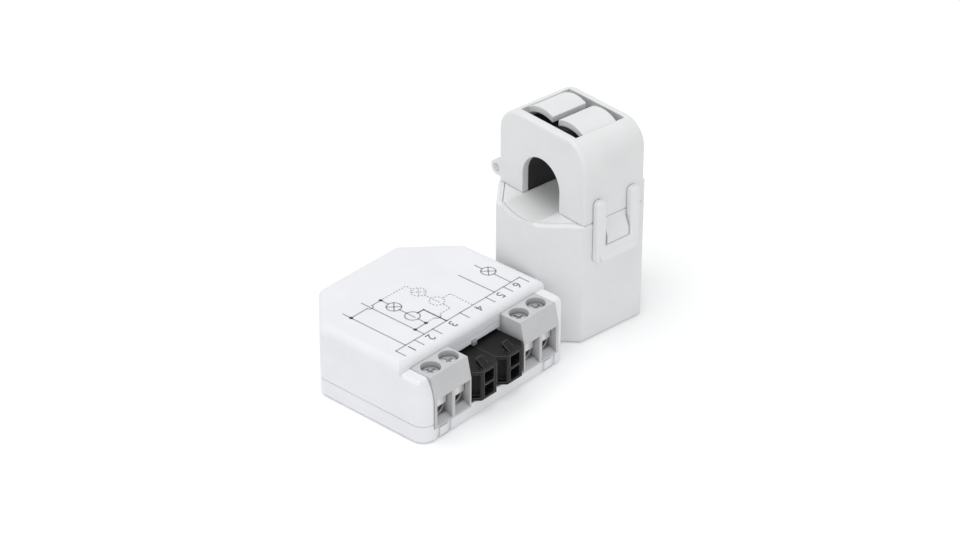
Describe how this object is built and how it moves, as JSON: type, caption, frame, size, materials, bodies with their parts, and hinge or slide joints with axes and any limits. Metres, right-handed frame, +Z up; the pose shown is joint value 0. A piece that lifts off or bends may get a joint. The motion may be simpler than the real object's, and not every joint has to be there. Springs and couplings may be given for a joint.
{
  "type": "smart energy monitor",
  "caption": "Small in-wall energy meter module with screw terminals and sensor sockets, and the hinged split-core clamp transformer that stands beside it.",
  "frame": {"origin": "middle of the meter module's base, on the surface that it stands on", "axes": "+X along the row of terminals towards the clamp transformer, +Y from the terminals to the back, +Z up"},
  "size_m": [0.0729, 0.0394, 0.0454],
  "materials": {
    "module_white": "fine moulded satin",
    "cover_grey": "fine moulded satin",
    "terminal_grey": "moulded matte",
    "header_black": "moulded matte",
    "clear_window": "clear, slightly milky",
    "button_grey": "moulded matte",
    "screw_steel": "zinc plated",
    "cage_steel": "zinc plated, bent",
    "contact_tinned": "tinned",
    "pin_gold": "gold flash",
    "board_green": "solder mask",
    "relay_black": "moulded",
    "shield_tin": "tinned sheet",
    "can_aluminium": "drawn can with a dark sleeve",
    "varistor_blue": "dipped lacquer",
    "resistor_green": "lacquer",
    "ferrite": "sintered, matte",
    "chip_black": "moulded matte",
    "led_milky": "milky",
    "ct_white": "fine moulded satin",
    "ct_core": "ground and lacquered",
    "bobbin_black": "moulded matte",
    "copper_wire": "enamelled wire",
    "pin_steel": "drawn wire",
    "bush_rubber": "soft rubber"
  },
  "bodies": {
    "module_body": {"top_housing": "module_white", "bottom_cover": "cover_grey", "circuit_board": "board_green", "light_window": "clear_window", "status_led": "led_milky", "reset_switch": "chip_black", "relay": "relay_black", "radio_board": "board_green", "radio_shield": "shield_tin", "filter_capacitors": "can_aluminium", "varistor": "varistor_blue", "fusible_resistor": "resistor_green", "bridge_rectifier": "chip_black", "power_inductor": "ferrite", "metering_chip": "chip_black", "burden_resistors": "chip_black", "terminal_block_left": "terminal_grey", "terminal_block_right": "terminal_grey", "terminal_contacts_left": "contact_tinned", "terminal_contacts_right": "contact_tinned", "sensor_header_a": "header_black", "sensor_header_b": "header_black", "header_pins_a": "pin_gold", "header_pins_b": "pin_gold"},
    "button": {"reset_button": "button_grey"},
    "ct_body": {"ct_lower_shell": "ct_white", "ct_cradle": "ct_white", "ct_lower_core": "ct_core", "ct_bobbin": "bobbin_black", "ct_winding": "copper_wire", "ct_lead_bush": "bush_rubber", "ct_hinge_pin": "pin_steel"},
    "ct_jaw": {"ct_jaw_shell": "ct_white", "ct_upper_core": "ct_core"},
    "ct_latch": {"ct_latch_loop": "ct_white"},
    "screw_1": {"terminal_screw_1": "screw_steel"},
    "cage_1": {"clamp_cage_1": "cage_steel"},
    "screw_2": {"terminal_screw_2": "screw_steel"},
    "cage_2": {"clamp_cage_2": "cage_steel"},
    "screw_3": {"terminal_screw_3": "screw_steel"},
    "cage_3": {"clamp_cage_3": "cage_steel"},
    "screw_4": {"terminal_screw_4": "screw_steel"},
    "cage_4": {"clamp_cage_4": "cage_steel"}
  },
  "joints": [
    {"name": "screw_1_turn", "type": "hinge", "parent": "module_body", "child": "screw_1", "pos_m": [-0.01515, -0.0151, 0.0132], "axis": [0, 0, -1], "range_deg": [0, 1200]},
    {"name": "cage_1_rise", "type": "slide", "parent": "module_body", "child": "cage_1", "axis": [0, 0, 1], "range_m": [0, 0.0015]},
    {"name": "screw_2_turn", "type": "hinge", "parent": "module_body", "child": "screw_2", "pos_m": [-0.01015, -0.0151, 0.0132], "axis": [0, 0, -1], "range_deg": [0, 1200]},
    {"name": "cage_2_rise", "type": "slide", "parent": "module_body", "child": "cage_2", "axis": [0, 0, 1], "range_m": [0, 0.0015]},
    {"name": "screw_3_turn", "type": "hinge", "parent": "module_body", "child": "screw_3", "pos_m": [0.01015, -0.0151, 0.0132], "axis": [0, 0, -1], "range_deg": [0, 1200]},
    {"name": "cage_3_rise", "type": "slide", "parent": "module_body", "child": "cage_3", "axis": [0, 0, 1], "range_m": [0, 0.0015]},
    {"name": "screw_4_turn", "type": "hinge", "parent": "module_body", "child": "screw_4", "pos_m": [0.01515, -0.0151, 0.0132], "axis": [0, 0, -1], "range_deg": [0, 1200]},
    {"name": "cage_4_rise", "type": "slide", "parent": "module_body", "child": "cage_4", "axis": [0, 0, 1], "range_m": [0, 0.0015]},
    {"name": "button_press", "type": "slide", "parent": "module_body", "child": "button", "axis": [0, 1, 0], "range_m": [0, 0.00025], "stiffness_N_per_m": 400, "springref_m": -0.0005},
    {"name": "ct_lift", "type": "slide", "parent": "module_body", "child": "ct_body", "axis": [0, 0, 1], "range_m": [0, 0.06]},
    {"name": "ct_jaw_hinge", "type": "hinge", "parent": "ct_body", "child": "ct_jaw", "pos_m": [0.0381, 0.00723, 0.0296], "axis": [-0.9921, 0.1255, 0], "range_deg": [0, 95]},
    {"name": "ct_latch_swing", "type": "hinge", "parent": "ct_jaw", "child": "ct_latch", "pos_m": [0.03487, -0.0183, 0.0319], "axis": [-0.9921, 0.1255, 0], "range_deg": [0, 14], "stiffness_Nm_per_rad": 0.01, "springref_deg": -5.73}
  ],
  "couplings": [
    {"joint": "screw_1_turn", "follows": "cage_1_rise", "rad_per_m": 13963},
    {"joint": "screw_2_turn", "follows": "cage_2_rise", "rad_per_m": 13963},
    {"joint": "screw_3_turn", "follows": "cage_3_rise", "rad_per_m": 13963},
    {"joint": "screw_4_turn", "follows": "cage_4_rise", "rad_per_m": 13963}
  ]
}
